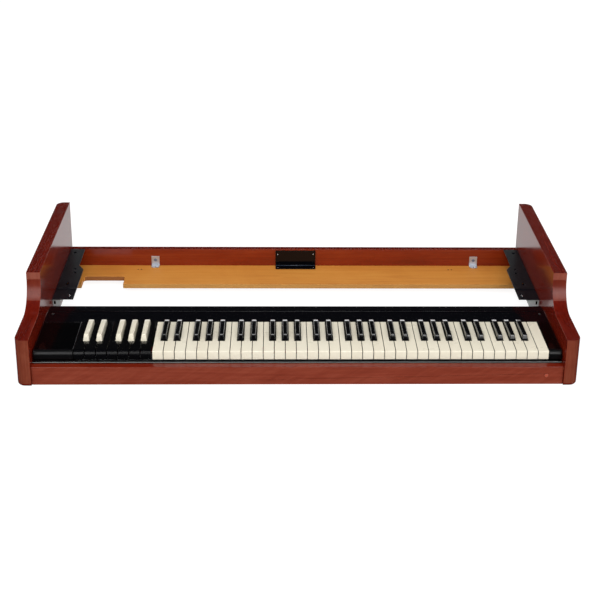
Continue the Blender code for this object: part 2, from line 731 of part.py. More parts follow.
def bracket_leg(side, sign, finish):
    """Plated steel tab under the bracket's front edge, with a flange on the end panel."""
    top = BRACKET_TOP - BRACKET_STEEL - GAP
    foot = top - LEG_HEIGHT
    outer = INNER_X - GAP
    front = FRONT_Y + BRACKET_FRONT + LEG_BEHIND
    top_width, foot_width = LEG_WIDTHS[side]
    face = [(outer, foot), (outer, top), (outer - top_width, top), (outer - foot_width, foot)]
    hole_x, hole_z = LEG_HOLE
    hole = rectangle((outer - LEG_STEEL - hole_x, top - 2 * hole_z / 3 - hole_z),
                     (outer - LEG_STEEL, top - 2 * hole_z / 3))
    obj = plate(side + "_bracket_leg", [(sign * x, z) for x, z in face], "Y", front,
                front + LEG_STEEL, finish, [[(sign * x, z) for x, z in hole]])
    flange_x = sorted((sign * outer, sign * (outer - LEG_STEEL)))
    flange = box(side + "_leg_flange", (flange_x[0], front + LEG_STEEL / 2, foot),
                 (flange_x[1], front + LEG_FLANGE, top), collection=cutters)
    join(obj, flange)
    return obj


def rear_panel(finish):
    obj = box("rear_panel", (-INNER_X + GAP, REAR_INNER_Y, 0),
              (INNER_X - GAP, REAR_Y - REAR_INSET, BRACKET_TOP), finish)
    soften(obj, EDGE_ROUND / 2)


def rear_shelf(finish):
    """Unfinished board with a rounded cut-out in its front edge."""
    left = -INNER_X + NOTCH_LEFT
    right = left + NOTCH_WIDTH
    back = SHELF_FRONT_Y + NOTCH_DEPTH
    limit = min(NOTCH_ROUND, NOTCH_DEPTH / 2, NOTCH_WIDTH / 2)
    outline = [
        (-INNER_X + GAP, SHELF_FRONT_Y),
        (left, SHELF_FRONT_Y),
        *arc((left + limit, back - limit), limit, 180, 90, 4),
        *arc((right - limit / 2, back - limit / 2), limit / 2, 90, 0, 3),
        (right, SHELF_FRONT_Y),
        (INNER_X - GAP, SHELF_FRONT_Y),
        (INNER_X - GAP, REAR_INNER_Y - GAP),
        (-INNER_X + GAP, REAR_INNER_Y - GAP),
    ]
    y = REAR_INNER_Y - SHELF_HOLE_SETBACK
    offsets = (-SHELF_HOLE_PITCH / 2, SHELF_HOLE_PITCH / 2)
    holes = [arc((side * (INNER_X - SHELF_HOLE_FROM_END) + offset, y), SHELF_HOLE_RADIUS, 0, 315, 7)
             for side in (-1, 1) for offset in offsets]
    plate("rear_shelf", outline, "Z", SHELF_TOP - SHELF_THICK, SHELF_TOP, finish, holes)


def centre_angle_plate(finish):
    """Black angle that ties the shelf to the rear panel, with ribs along its sides."""
    wall = REAR_INNER_Y - GAP
    low = SHELF_TOP + GAP
    section = [
        (wall, low),
        (wall, low + ANGLE_HEIGHT),
        (wall - ANGLE_STEEL, low + ANGLE_HEIGHT),
        (wall - ANGLE_STEEL, low + ANGLE_STEEL),
        (wall - ANGLE_FOOT, low + ANGLE_STEEL),
        (wall - ANGLE_FOOT, low),
    ]
    half = ANGLE_WIDTH / 2
    obj = plate("centre_angle_plate", section, "X", -half, half, finish)
    for i, x in enumerate((-half, half - ANGLE_RIB)):
        rib = box(f"angle_rib_{i}", (x, wall - 2 * ANGLE_STEEL, low + ANGLE_STEEL / 2),
                  (x + ANGLE_RIB, wall - ANGLE_STEEL / 2, low + ANGLE_HEIGHT), collection=cutters)
        join(obj, rib)
    return obj


def clip(side, x, finish):
    """Bright metal clip: an upright tab with a hole, and a tapered foot on the shelf."""
    wall = REAR_INNER_Y - GAP
    low = SHELF_TOP + GAP
    half = CLIP_WIDTH / 2
    tab = rectangle((x - half, low), (x + half, low + CLIP_HEIGHT))
    hole = arc((x, low + 0.6 * CLIP_HEIGHT), CLIP_HOLE, 0, 330, 11)
    obj = plate(side + "_clip", tab, "Y", wall - CLIP_STEEL, wall, finish, [hole])
    soft = half / 2
    toe_y = wall - CLIP_FOOT
    toe = arc((x + half - soft, toe_y + soft), soft, 0, -90, 4)
    toe += [(2 * x - u, v) for u, v in reversed(toe)]
    outline = [(x + half, wall - CLIP_STEEL / 2), *toe, (x - half, wall - CLIP_STEEL / 2)]
    foot = plate(side + "_clip_foot", outline, "Z", low, low + CLIP_STEEL, collection=cutters)
    join(obj, foot)
    return obj


clear_scene()
parts = new_collection("organ_lower_manual")
cutters = new_collection("cutters")

LENS_X = INNER_X - LENS_FROM_END
FELT_TOP = KEY_UNDERSIDE - FELT_CLEARANCE - DIP_SINE * (PIVOT_Y - KEY_FRONT_Y - FELT_FROM_FRONT)

cherry = material("cherry_lacquer", (0.24, 0.045, 0.022), 0.22)
bare_wood = material("bare_plywood", (0.55, 0.30, 0.11), 0.55)
board_wood = material("keybed_board", (0.42, 0.30, 0.18), 0.7)
black_paint = material("black_paint", (0.012, 0.012, 0.014), 0.35)
black_steel = material("black_steel", (0.015, 0.016, 0.018), 0.4, 0.3)
plated_steel = material("plated_steel", (0.45, 0.46, 0.46), 0.35, 0.9)
bright_metal = material("bright_metal", (0.72, 0.72, 0.70), 0.25, 1.0)
cream = material("cream_key", (0.83, 0.78, 0.62), 0.3)
black_key = material("black_key", (0.01, 0.01, 0.012), 0.2)
felt = material("red_felt", (0.30, 0.02, 0.03), 0.95)
circuit = material("circuit_board", (0.05, 0.20, 0.08), 0.45)
lens_red = material("lens_red", (0.45, 0.09, 0.05), 0.2)

for side, sign in (("left", -1), ("right", 1)):
    end_panel(side, sign, cherry)
    bracket(side, sign, black_steel)
    bracket_leg(side, sign, plated_steel)
front_rail(cherry)
rail_lens(lens_red)
keybed_board(board_wood)
key_trim_strip(plated_steel)
key_chassis(plated_steel)
downstop_felt(felt)
contact_board(circuit)
key_block("left", -INNER_X + BLOCK_SIDE_GAP, KEYS_LEFT - KEY_GAP / 2, black_paint)
key_block("right", KEYS_RIGHT + KEY_GAP / 2, INNER_X - BLOCK_SIDE_GAP, black_paint)
rear_fascia(black_steel)
rear_panel(cherry)
rear_shelf(bare_wood)
centre_angle_plate(black_steel)
clip("left", -INNER_X + LEFT_CLIP_FROM_END, bright_metal)
clip("right", INNER_X - RIGHT_CLIP_FROM_END, bright_metal)

every_sharp = [*sharp_places(KEYS_LEFT, PRESET_NATURALS), *sharp_places(MANUAL_LEFT, MANUAL_NATURALS)]
slots = sharp_slots([x for x, _ in every_sharp])
preset_keys(slots, black_key, cream)
upper_keys(slots, cream, black_key)
lower_naturals(slots, cream)
lower_sharps(black_key)
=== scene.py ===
import math

import bmesh
import bpy
from mathutils import Matrix, Vector


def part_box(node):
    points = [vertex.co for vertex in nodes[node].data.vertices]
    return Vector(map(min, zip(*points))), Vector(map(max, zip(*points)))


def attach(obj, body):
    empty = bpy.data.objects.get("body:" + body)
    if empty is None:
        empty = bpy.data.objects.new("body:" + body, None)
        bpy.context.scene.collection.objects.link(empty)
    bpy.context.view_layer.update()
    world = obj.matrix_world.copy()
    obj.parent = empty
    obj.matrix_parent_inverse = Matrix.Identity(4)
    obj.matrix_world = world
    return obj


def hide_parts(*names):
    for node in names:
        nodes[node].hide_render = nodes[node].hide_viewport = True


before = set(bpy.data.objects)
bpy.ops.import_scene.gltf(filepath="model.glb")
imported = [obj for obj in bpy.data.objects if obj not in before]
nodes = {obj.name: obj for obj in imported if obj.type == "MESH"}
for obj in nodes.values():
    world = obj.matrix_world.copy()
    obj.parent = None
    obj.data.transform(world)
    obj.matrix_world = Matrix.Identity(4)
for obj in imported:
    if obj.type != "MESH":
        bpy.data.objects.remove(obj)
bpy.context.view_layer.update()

print("frame loaded:", len(nodes), "solids")

# lengths are in metres; points nearer than near count as in line, and edges sharper than
# arrisAngle as arrises
near, samePoint = 0.0001, 1e-6
arrisAngle = math.radians(38)
up, front = (0, 0, 1), (0, -1, 0)


# Node trees

class Link:
    # one output of a node; sums and products of links add Math nodes to its tree
    def __init__(self, tree, socket):
        self.tree, self.socket = tree, socket

    def output(self, name):
        return Link(self.tree, self.socket.node.outputs[name])

    def maths(self, operation, *values):
        return self.tree.add("ShaderNodeMath", dict(enumerate(values)), operation=operation)

    def __add__(self, other):
        return self.maths("ADD", self, other)

    def __sub__(self, other):
        return self.maths("SUBTRACT", self, other)

    def __rsub__(self, other):
        return self.maths("SUBTRACT", other, self)

    def __mul__(self, other):
        return self.maths("MULTIPLY", self, other)

    def __truediv__(self, other):
        return self.maths("DIVIDE", self, other)

    __radd__, __rmul__ = __add__, __mul__

    def whole(self):
        return self.maths("FLOOR", self)

    def step(self, low, high):
        # 0 below low and 1 above high, with a soft change between them
        values = {"Value": self, "From Min": low, "From Max": high}
        return self.tree.add("ShaderNodeMapRange", values, interpolation_type="SMOOTHSTEP")


class Tree:
    def __init__(self, nodeTree):
        self.nodeTree = nodeTree

    def add(self, kind, values=None, out=0, **settings):
        # a node with its settings, then its inputs fed from values
        node = self.nodeTree.nodes.new(kind)
        for name, value in settings.items():
            if name == "stops":
                self.setStops(node.color_ramp, value)
            else:
                setattr(node, name, value)
        for key, value in (values or {}).items():
            self.feed(node.inputs[key], value)
        return Link(self, node.outputs[out]) if len(node.outputs) else None

    def feed(self, socket, value):
        # a list holds several links for one input
        if isinstance(value, list):
            for link in value:
                self.feed(socket, link)
        elif isinstance(value, Link):
            self.nodeTree.links.new(value.socket, socket)
        elif socket.type == "RGBA":
            socket.default_value = (*value[:3], 1)
        else:
            socket.default_value = value

    def setStops(self, ramp, stops):
        while len(ramp.elements) < len(stops):
            ramp.elements.new(0.5)
        for element, (position, colour) in zip(ramp.elements, stops):
            element.position = position
            element.color = (*colour, 1)

    def mix(self, factor, first, second):
        return self.add("ShaderNodeMix", {0: factor, 6: first, 7: second}, out=2, data_type="RGBA")

    def stretched(self, place, scale):
        return self.add("ShaderNodeVectorMath", {0: place, 1: scale}, operation="MULTIPLY")

    def noise(self, place, scale, detail=3, roughness=0.5, distortion=0):
        return self.add("ShaderNodeTexNoise", {"Vector": place, "Scale": scale, "Detail": detail,
                                               "Roughness": roughness, "Distortion": distortion})


def newFinish(name):
    # an empty material with its shader, and the tree that the finish is drawn in
    finish = bpy.data.materials.new(name)
    finish.use_nodes = True
    finish.node_tree.nodes.clear()
    tree = Tree(finish.node_tree)
    shader = finish.node_tree.nodes.new("ShaderNodeBsdfPrincipled")
    tree.add("ShaderNodeOutputMaterial", {"Surface": Link(tree, shader.outputs[0])})
    place = tree.add("ShaderNodeTexCoord", out="Object")
    return finish, tree, shader, place


def dress(tree, shader, look, colour, gloss, height):
    # joins what varies to the shader and sets its constants
    relief = tree.add("ShaderNodeBump", {"Height": height, "Distance": look["relief"],
                                         "Strength": look["reliefStrength"]})
    values = {"Base Color": colour, "Roughness": gloss, "Metallic": look["metal"],
              "Specular IOR Level": look["specular"], "Normal": relief}
    for name, value in values.items():
        tree.feed(shader.inputs[name], value)


# Finishes

grainLook = {"alongGrain": 0.045, "bandWeight": 0.5, "figureWeight": 0.35, "poreWeight": 0.2,
             "toneDrop": 0.02, "stops": (0.3, 0.5, 0.72), "lean": 0.0, "stretch": (1.0, 0.6, 1.7),
             "poreGloss": 0.08, "reliefStrength": 0.35, "specular": 0.5, "metal": 0.0}


def woodFinish(name, look, along):
    # veneer or board whose grain runs along one axis of the case
    finish, tree, shader, place = newFinish(name)
    scale = tuple(look["alongGrain"] if axis == along else 1.0 for axis in "XYZ")
    grain = tree.stretched(place, scale)
    bands = tree.noise(grain, look["bands"], 4, 0.6, 1.2)
    pores = tree.noise(grain, look["pores"], 2, 0.55)
    values = {"Vector": place, "Axis": (0, 1, 0), "Angle": look["lean"]}
    leaning = tree.add("ShaderNodeVectorRotate", values, rotation_type="AXIS_ANGLE")
    figure = tree.noise(tree.stretched(leaning, look["stretch"]), look["figure"], 3, 0.6, 0.8)
    tone = (bands * look["bandWeight"] + figure * look["figureWeight"]
            + pores * look["poreWeight"] - look["toneDrop"])
    shades = (look["dark"], look["middle"], look["light"])
    colour = tree.add("ShaderNodeValToRGB", {"Fac": tone}, stops=list(zip(look["stops"], shades)))
    gloss = pores * look["poreGloss"] + (look["gloss"] - look["poreGloss"] / 2)
    dress(tree, shader, look, colour, gloss, pores)
    return finish


plainLook = {"mottle": 40, "fine": 900, "glossChange": 0.06, "metal": 0.0, "specular": 0.5,
             "relief": 0.00003, "reliefStrength": 0.2}


def plainFinish(name, look):
    # paint, plastic or metal with faint unevenness in colour, gloss and surface
    look = {**plainLook, "second": look["colour"], **look}
    finish, tree, shader, place = newFinish(name)
    mottle = tree.noise(place, look["mottle"], 3, 0.6)
    fine = tree.noise(place, look["fine"], 2, 0.5)
    colour = tree.mix(mottle, look["colour"], look["second"])
    gloss = look["gloss"] + (mottle - 0.5) * look["glossChange"]
    dress(tree, shader, look, colour, gloss, fine)
    return finish


keyRow = {"left": -0.3116, "pitch": 0.0235}
keyLook = {**keyRow, "cloud": 28, "ownShade": 0.7, "cloudGloss": 0.05, "metal": 0.0,
           "relief": 0.00005, "reliefStrength": 0.1}


def keyFinish(name, look):
    # key plastic, each key a slightly different shade from its neighbours
    look = {**keyLook, **look}
    finish, tree, shader, place = newFinish(name)
    across = tree.add("ShaderNodeSeparateXYZ", {"Vector": place}, out="X")
    key = ((across - look["left"]) / look["pitch"]).whole()
    shade = tree.add("ShaderNodeTexWhiteNoise", {"W": key}, noise_dimensions="1D")
    cloud = tree.noise(place, look["cloud"], 3, 0.6)
    tone = shade * look["ownShade"] + cloud * (1 - look["ownShade"])
    colour = tree.mix(tone, look["colour"], look["second"])
    gloss = cloud * look["cloudGloss"] + (look["gloss"] - look["cloudGloss"] / 2)
    dress(tree, shader, look, colour, gloss, cloud)
    return finish


cherryVeneer = {**grainLook, "dark": (0.115, 0.007, 0.0025), "middle": (0.19, 0.017, 0.005),
                "light": (0.28, 0.045, 0.014), "bands": 62, "pores": 900, "figure": 9,
                "gloss": 0.19, "relief": 0.00004}
sideVeneer = {**cherryVeneer, "dark": (0.10, 0.0045, 0.002), "middle": (0.17, 0.010, 0.0035),
              "light": (0.25, 0.03, 0.009), "gloss": 0.17, "relief": 0.00001, "specular": 0.28}
# painted shade: the veneer of the upward and edge faces is darker than that of the sides and fronts
topShadedVeneer = {**cherryVeneer, "dark": (0.075, 0.003, 0.0012), "middle": (0.125, 0.0065, 0.0022),
             "light": (0.19, 0.017, 0.006), "specular": 0.35, "bands": 120}
# painted light: the veneer of the front faces is lighter than that of the tops
frontLitVeneer = {**cherryVeneer, "dark": (0.135, 0.020, 0.009), "middle": (0.19, 0.038, 0.018),
               "light": (0.25, 0.065, 0.034), "bands": 120}
# painted highlight: the inner top arris is lighter than the tops
edgeHighlightVeneer = {**topShadedVeneer, "dark": (0.20, 0.045, 0.028), "middle": (0.26, 0.066, 0.043),
              "light": (0.32, 0.095, 0.065)}
# painted highlight: the riser's flat front is lighter still than the other fronts
riserHighlightVeneer = {**frontLitVeneer, "dark": (0.225, 0.052, 0.031), "middle": (0.28, 0.074, 0.047),
               "light": (0.33, 0.10, 0.066)}
# painted highlight: the cove's upper part is lighter than the tops, and also rougher
coveHighlightVeneer = {**topShadedVeneer, "dark": (0.12, 0.011, 0.004), "middle": (0.17, 0.020, 0.008),
              "light": (0.23, 0.038, 0.016), "gloss": 0.3}
railVeneer = {**cherryVeneer, "dark": (0.155, 0.022, 0.010), "middle": (0.225, 0.037, 0.018),
              "light": (0.30, 0.062, 0.033), "figure": 42, "lean": 0.5,
              "stretch": (0.22, 0.5, 1.9)}
# painted shade: the rail's upward slope is darker than its front, and glossier
slopeShadedVeneer = {**cherryVeneer, "dark": (0.10, 0.006, 0.002), "middle": (0.145, 0.011, 0.003),
               "light": (0.20, 0.023, 0.007), "gloss": 0.09, "relief": 0.00001, "specular": 0.6}
rearVeneer = {**cherryVeneer, "dark": (0.12, 0.008, 0.0012), "middle": (0.21, 0.0175, 0.0025),
              "light": (0.285, 0.035, 0.006), "figure": 5}
bareBoardLook = {**grainLook, "dark": (0.54, 0.18, 0.022), "middle": (0.69, 0.265, 0.036),
                 "light": (0.77, 0.34, 0.06), "bands": 90, "pores": 1200, "figure": 6,
                 "gloss": 0.6, "relief": 0.0002}
boardEdgeLook = {**bareBoardLook, "dark": (0.42, 0.165, 0.033), "middle": (0.53, 0.245, 0.052),
                 "light": (0.60, 0.32, 0.085), "bands": 260}
# painted shade: the back wall of the shelf's notch is darker
boardNotchShadeLook = {**bareBoardLook, "dark": (0.26, 0.075, 0.012), "middle": (0.34, 0.11, 0.018),
                "light": (0.42, 0.15, 0.03)}
innerBoardLook = {**grainLook, "dark": (0.22, 0.15, 0.085), "middle": (0.34, 0.25, 0.15),
                  "light": (0.45, 0.35, 0.22), "bands": 200, "pores": 1500, "figure": 30,
                  "gloss": 0.75, "relief": 0.0003}

cherrySide = woodFinish("cherrySide", sideVeneer, "Y")
cherryTopShaded = woodFinish("cherryTopShaded", topShadedVeneer, "Y")
cherryEdgeHighlight = woodFinish("cherryEdgeHighlight", edgeHighlightVeneer, "Y")
cherryCoveHighlight = woodFinish("cherryCoveHighlight", coveHighlightVeneer, "Z")
cherryFrontLit = woodFinish("cherryFrontLit", frontLitVeneer, "Z")
cherryRiserHighlight = woodFinish("cherryRiserHighlight", riserHighlightVeneer, "Z")
cherryRail = woodFinish("cherryRail", railVeneer, "X")
cherrySlopeShaded = woodFinish("cherrySlopeShaded", slopeShadedVeneer, "X")
cherryRear = woodFinish("cherryRear", rearVeneer, "X")
bareBoard = woodFinish("bareBoard", bareBoardLook, "X")
boardEdge = woodFinish("boardEdge", boardEdgeLook, "X")
boardNotchShade = woodFinish("boardNotchShade", boardNotchShadeLook, "X")
innerBoard = woodFinish("innerBoard", innerBoardLook, "X")

creamPlastic = keyFinish("creamPlastic", {
    "colour": (0.80, 0.735, 0.585), "second": (0.83, 0.775, 0.635), "gloss": 0.28, "specular": 0.4})
# painted shade: the naturals' side faces are dark, where the gaps between the keys lie in shade
creamGapShade = keyFinish("creamGapShade", {
    "colour": (0.11, 0.09, 0.055), "second": (0.14, 0.115, 0.075), "gloss": 0.4, "specular": 0.2})
blackPlastic = keyFinish("blackPlastic", {
    "colour": (0.0015, 0.0015, 0.002), "second": (0.0025, 0.0025, 0.003), "gloss": 0.12,
    "specular": 0.5})
blackBlock = plainFinish("blackBlock", {
    "colour": (0.0006, 0.0006, 0.0009), "second": (0.0012, 0.0012, 0.0015), "gloss": 0.12,
    "glossChange": 0.03, "specular": 0.15})
blackNose = plainFinish("blackNose", {
    "colour": (0.002, 0.002, 0.0025), "second": (0.003, 0.003, 0.0035), "gloss": 0.3,
    "glossChange": 0.03, "specular": 0.3})
blackLip = plainFinish("blackLip", {
    "colour": (0.0012, 0.0012, 0.0018), "second": (0.002, 0.002, 0.003), "gloss": 0.22,
    "glossChange": 0.03, "specular": 0.22})
# painted highlight: a grey line on the left block's top right arris
blackArrisHighlight = plainFinish("blackArrisHighlight", {
    "colour": (0.05, 0.05, 0.055), "second": (0.12, 0.12, 0.125), "gloss": 0.3, "mottle": 60})
blackSteel = plainFinish("blackSteel", {
    "colour": (0.0015, 0.0015, 0.0025), "second": (0.0025, 0.0025, 0.004), "gloss": 0.1,
    "glossChange": 0.03, "specular": 0.25, "fine": 700})
bracketSteel = plainFinish("bracketSteel", {
    "colour": (0.0015, 0.0025, 0.004), "second": (0.005, 0.007, 0.011), "gloss": 0.32,
    "mottle": 25, "relief": 0.00005, "reliefStrength": 0.4, "specular": 0.2})
# painted highlight: a bluish light line along the angle plate's fold
foldHighlight = plainFinish("foldHighlight", {
    "colour": (0.035, 0.05, 0.08), "second": (0.06, 0.08, 0.12), "gloss": 0.3})
platedSteel = plainFinish("platedSteel", {
    "colour": (0.40, 0.44, 0.44), "second": (0.54, 0.57, 0.57), "gloss": 0.4,
    "glossChange": 0.15, "metal": 0.85})
legSteel = plainFinish("legSteel", {
    "colour": (0.62, 0.67, 0.67), "second": (0.76, 0.80, 0.79), "gloss": 0.4, "mottle": 220})
# painted highlight: the bright band along the trim strip's black front face
stripHighlight = plainFinish("stripHighlight", {
    "colour": (0.34, 0.37, 0.36), "second": (0.42, 0.44, 0.43), "gloss": 0.4,
    "glossChange": 0.1, "metal": 0.3})
brightMetal = plainFinish("brightMetal", {
    "colour": (0.52, 0.55, 0.61), "second": (0.64, 0.66, 0.71), "gloss": 0.35,
    "glossChange": 0.15, "metal": 0.7})
darkScrew = plainFinish("darkScrew", {"colour": (0.05, 0.05, 0.05), "gloss": 0.35, "metal": 0.6})
brightScrew = plainFinish("brightScrew", {"colour": (0.6, 0.6, 0.6), "gloss": 0.25, "metal": 1.0})
blueScrew = plainFinish("blueScrew", {"colour": (0.22, 0.27, 0.37), "gloss": 0.4, "metal": 0.6})
redFelt = plainFinish("redFelt", {
    "colour": (0.26, 0.015, 0.02), "second": (0.36, 0.03, 0.035), "gloss": 0.95, "fine": 2500,
    "relief": 0.0006, "reliefStrength": 0.8, "specular": 0.1})
greenLaminate = plainFinish("greenLaminate", {
    "colour": (0.02, 0.11, 0.04), "second": (0.03, 0.15, 0.055), "gloss": 0.4})
lensRed = plainFinish("lensRed", {
    "colour": (0.36, 0.06, 0.03), "second": (0.46, 0.10, 0.055), "gloss": 0.3, "mottle": 300})
print("finishes ready")


# Making meshes

def linked(name, data):
    # a new object in the scene
    holder = bpy.data.objects.new(name, data)
    bpy.context.scene.collection.objects.link(holder)
    return holder


def addPiece(name, mesh, body, finish=None, replaced=None):
    # a mesh that a tree has grown brings its finish with it
    if finish:
        mesh.materials.append(finish)
    piece = linked(name, mesh)
    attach(piece, body)
    if replaced:
        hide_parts(replaced)
    return piece


def settled(helper):
    # the helper's evaluated mesh as a plain one
    graph = bpy.context.evaluated_depsgraph_get()
    mesh = bpy.data.meshes.new_from_object(helper.evaluated_get(graph))
    mesh.validate(clean_customdata=False)
    bpy.data.objects.remove(helper, do_unlink=True)
    return mesh


def helperFrom(bm, name="helper"):
    mesh = bpy.data.meshes.new(name)
    for face in bm.faces:
        face.smooth = True
    bm.to_mesh(mesh)
    bm.free()
    return linked(name, mesh)


def roundEdges(helper, width, segments):
    edge = helper.modifiers.new("round", "BEVEL")
    edge.width = width
    edge.segments = segments
    edge.limit_method = "ANGLE"
    edge.angle_limit = arrisAngle
    edge.harden_normals = True
    edge.use_clamp_overlap = False


def roundedPiece(name, bm, width, segments, body, finish, replaced=None):
    helper = helperFrom(bm)
    roundEdges(helper, width, segments)
    return addPiece(name, settled(helper), body, finish, replaced)


def mergedCopy(node):
    # only the solid's points and faces, without the normals that it came with
    solid = nodes[node].data
    faces = [tuple(face.vertices) for face in solid.polygons]
    bare = bpy.data.meshes.new("bare")
    bare.from_pydata([vertex.co for vertex in solid.vertices], [], faces)
    bm = bmesh.new()
    bm.from_mesh(bare)
    bpy.data.meshes.remove(bare)
    bmesh.ops.remove_doubles(bm, verts=bm.verts, dist=samePoint)
    flat = math.radians(0.2)
    bmesh.ops.dissolve_limit(bm, angle_limit=flat, verts=bm.verts, edges=bm.edges)
    return bm


def softCopy(node, body, finish, width, segments=2, reshape=None):
    # the solid's own shape with its arrises rounded
    bm = mergedCopy(node)
    if reshape:
        reshape(bm)
    return roundedPiece(node + "_soft", bm, width, segments, body, finish, node)


def otherFinish(piece, finish, chosen):
    # a further finish on the faces that are chosen by unit normal n and middle c
    slot = len(piece.data.materials)
    piece.data.materials.append(finish)
    for face in piece.data.polygons:
        if chosen(face.normal, face.center):
            face.material_index = slot
    return piece


def roundedBlocks(name, blocks, finish, width, replaced=None):
    # blocks with rounded arrises, each (middle, size), in one piece
    bm = bmesh.new()
    for middle, extent in blocks:
        place = Matrix.LocRotScale(Vector(middle), None, Vector(extent))
        bmesh.ops.create_cube(bm, size=1, matrix=place)
    return roundedPiece(name, bm, width, 3, "case", finish, replaced)


def arcPoints(centre, radius, start, end, steps):
    # start and end in degrees
    angles = (math.radians(start + (end - start) * i / steps) for i in range(steps + 1))
    return [(centre[0] + radius * math.cos(a), centre[1] + radius * math.sin(a)) for a in angles]


def prism(outline, low, high):
    # an outline of (y, z) points carried along X
    bm = bmesh.new()
    base = bm.faces.new([bm.verts.new((low, y, z)) for y, z in outline])
    swept = bmesh.ops.extrude_face_region(bm, geom=[base])["geom"]
    farSide = [part for part in swept if isinstance(part, bmesh.types.BMVert)]
    bmesh.ops.translate(bm, vec=(high - low, 0, 0), verts=farSide)
    bmesh.ops.recalc_face_normals(bm, faces=bm.faces)
    return bm


# Shapes repeated on the points of a mesh

def newGroup(name, inputs):
    # inputs are name: (kind, value), where None leaves the kind's own value
    group = bpy.data.node_groups.new(name, "GeometryNodeTree")
    group.interface.new_socket("Geometry", in_out="OUTPUT", socket_type="NodeSocketGeometry")
    given = {"Places": ("Geometry", None), **inputs, "Finish": ("Material", None)}
    for label, (kind, value) in given.items():
        kind = "NodeSocket" + kind
        socket = group.interface.new_socket(label, in_out="INPUT", socket_type=kind)
        if value is not None:
            socket.default_value = value
    tree = Tree(group)
    return group, tree, tree.add("NodeGroupInput")


def repeatOnPoints(tree, given, shape, **turning):
    # ends a group's tree: the shape on every point, made real and given its finish
    values = {"Points": given.output("Places"), "Instance": shape, **turning}
    placed = tree.add("GeometryNodeInstanceOnPoints", values)
    real = tree.add("GeometryNodeRealizeInstances", {"Geometry": placed})
    finish = given.output("Finish")
    finished = tree.add("GeometryNodeSetMaterial", {"Geometry": real, "Material": finish})
    tree.add("NodeGroupOutput", {0: finished})


def pointsHelper(places):
    # a mesh of loose points, each with the way that it faces
    mesh = bpy.data.meshes.new("places")
    mesh.from_pydata([place for place, _ in places], [], [])
    attribute = mesh.attributes.new("facing", "FLOAT_VECTOR", "POINT")
    for point, (_, facing) in zip(attribute.data, places):
        point.vector = facing
    return linked("places", mesh)


def grown(helper, group, values):
    # runs a Geometry Nodes group on the helper and returns a plain mesh
    step = helper.modifiers.new(group.name, "NODES")
    step.node_group = group
    for item in group.interface.items_tree:
        if item.item_type == "SOCKET" and item.in_out == "INPUT" and item.name in values:
            step[item.identifier] = values[item.name]
    return settled(helper)


# Screws: a domed head with a crossed recess

screwHead = {"radius": 0.003, "height": 0.0016, "recessWidth": 0.28, "recessDepth": 0.6,
             "barReach": 1.1, "segments": 24, "rings": 12, "turnUpTo": 1.57, "seed": 7}


def screwSizes(radius, height, size):
    # the recess is a share of the head
    return {"Head Radius": radius, "Head Height": height,
            "Recess Width": radius * size["recessWidth"],
            "Recess Depth": height * size["recessDepth"]}


def screwGroup(size):
    usual = screwSizes(size["radius"], size["height"], size)
    inputs = {name: ("Float", value) for name, value in usual.items()}
    group, tree, given = newGroup("screwHeads", inputs)
    radius, height = given.output("Head Radius"), given.output("Head Height")
    width, depth = given.output("Recess Width"), given.output("Recess Depth")
    dome = tree.add("GeometryNodeMeshUVSphere", {"Segments": size["segments"],
                                                 "Rings": size["rings"], "Radius": 1.0})
    headScale = tree.add("ShaderNodeCombineXYZ", {"X": radius, "Y": radius, "Z": height})
    head = tree.add("GeometryNodeTransform", {"Geometry": dome, "Scale": headScale})
    reach = radius * size["barReach"]
    lift = tree.add("ShaderNodeCombineXYZ", {"Z": height})
    bars = []
    for long, wide in ((reach, width), (width, reach)):
        # half of the bar stands above the head
        extent = tree.add("ShaderNodeCombineXYZ", {"X": long, "Y": wide, "Z": depth * 2})
        bar = tree.add("GeometryNodeMeshCube", {"Size": extent})
        bars.append(tree.add("GeometryNodeTransform", {"Geometry": bar, "Translation": lift}))
    cross = tree.add("GeometryNodeMeshBoolean", {"Mesh 2": bars}, operation="UNION")
    cut = tree.add("GeometryNodeMeshBoolean", {"Mesh 1": head, "Mesh 2": cross},
                   operation="DIFFERENCE")
    facing = tree.add("GeometryNodeInputNamedAttribute", {"Name": "facing"},
                      data_type="FLOAT_VECTOR")
    upright = tree.add("FunctionNodeAlignRotationToVector", {"Vector": facing}, axis="Z")
    spin = tree.add("FunctionNodeRandomValue", {2: 0.0, 3: size["turnUpTo"], "Seed": size["seed"]},
                    out=1, data_type="FLOAT")
    turn = tree.add("FunctionNodeAxisAngleToRotation", {"Axis": up, "Angle": spin})
    aim = tree.add("FunctionNodeRotateRotation", {0: upright, 1: turn}, rotation_space="LOCAL")
    repeatOnPoints(tree, given, cut, Rotation=aim)
    return group


screws = screwGroup(screwHead)


def screwPiece(name, finish, radius, height, rows):
    # each row is (its places along X, y, z, the way that they face)
    places = [((x, y, z), facing) for across, y, z, facing in rows for x in across]
    values = {**screwSizes(radius, height, screwHead), "Finish": finish}
    addPiece(name, grown(pointsHelper(places), screws, values), "case")


# End panels

endPanel = {"innerX": 0.5648, "thick": 0.0305, "frontY": -0.309, "rearY": 0.309,
            "height": 0.1855, "armHeight": 0.108, "armDepth": 0.178, "coveRadius": 0.061,
            "coveDark": 0.126, "arris": 0.002, "footRound": 0.006, "innerFoot": 0.0025,
            "endRound": 0.018, "flatWeight": 80}


def panelOutline(size):
    riser = size["frontY"] + size["armDepth"]
    radius = size["coveRadius"]
    cove = arcPoints((riser - radius, size["armHeight"] + radius), radius, 0, -90, 32)
    return [(size["frontY"], 0), (size["rearY"], 0), (size["rearY"], size["height"]),
            (riser, size["height"]), *cove, (size["frontY"], size["armHeight"])]


